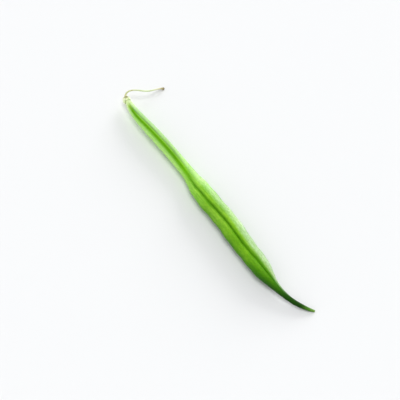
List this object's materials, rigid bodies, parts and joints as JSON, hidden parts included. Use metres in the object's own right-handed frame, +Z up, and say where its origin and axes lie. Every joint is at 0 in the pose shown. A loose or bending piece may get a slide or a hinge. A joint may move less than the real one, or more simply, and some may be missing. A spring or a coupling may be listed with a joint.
{
  "type": "green bean",
  "caption": "Whole raw snap bean lying on its side: slender seamed pod with a tapering neck, faint seed swellings and a curved beak, dried calyx and thin stalk at the stem end",
  "frame": {"origin": "centre of the bounding box in X and Y, at the level the bean rests on (Z = 0)", "axes": "+X runs along the pod from the stem end to the beak, +Z is up, +Y is the side the stalk bends to"},
  "size_m": [0.1374, 0.0288, 0.0087],
  "materials": {
    "pod_skin": "satin",
    "calyx_dry": "matte",
    "stalk_fibre": "matte"
  },
  "bodies": {
    "root": {"pod": "pod_skin", "calyx": "calyx_dry", "stalk": "stalk_fibre"}
  },
  "joints": []
}
